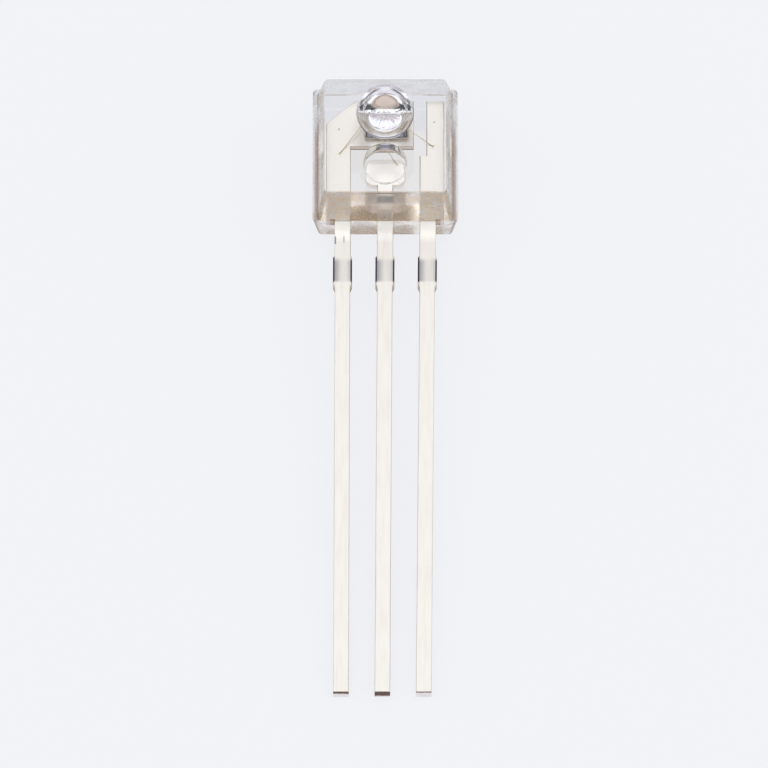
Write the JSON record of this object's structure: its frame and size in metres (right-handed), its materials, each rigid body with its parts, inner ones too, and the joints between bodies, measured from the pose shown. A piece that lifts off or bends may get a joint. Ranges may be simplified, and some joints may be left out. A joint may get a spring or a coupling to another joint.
{
  "type": "photo ic",
  "caption": "Side-looking light detector with amplifier: a clear moulded package with a dome lens on its front face and straight flat leads in one row.",
  "frame": {"origin": "centre of the package's flat rear face", "axes": "+Z along the lens axis, the way it looks; the leads point along -Y; +X to the right seen from the front"},
  "size_m": [0.0044, 0.0197, 0.0037],
  "materials": {
    "clear_epoxy": "clear moulded epoxy, polished on the front face, the lens and the rear face, slightly satin on the drafted sides",
    "plated_lead": "stamped iron-alloy strip with a warm white silver plating, bare brown metal on the cut tips",
    "die_glue": "silver-filled glue, matte",
    "silicon": "polished silicon with thin-film colours and metal tracks",
    "gold_wire": "bare drawn gold"
  },
  "bodies": {
    "root": {"package": "clear_epoxy", "lead_left": "plated_lead", "lead_centre": "plated_lead", "lead_right": "plated_lead", "die_attach": "die_glue", "photo_ic_die": "silicon", "bond_wire_left": "gold_wire", "bond_wire_centre": "gold_wire", "bond_wire_right": "gold_wire"}
  },
  "joints": []
}
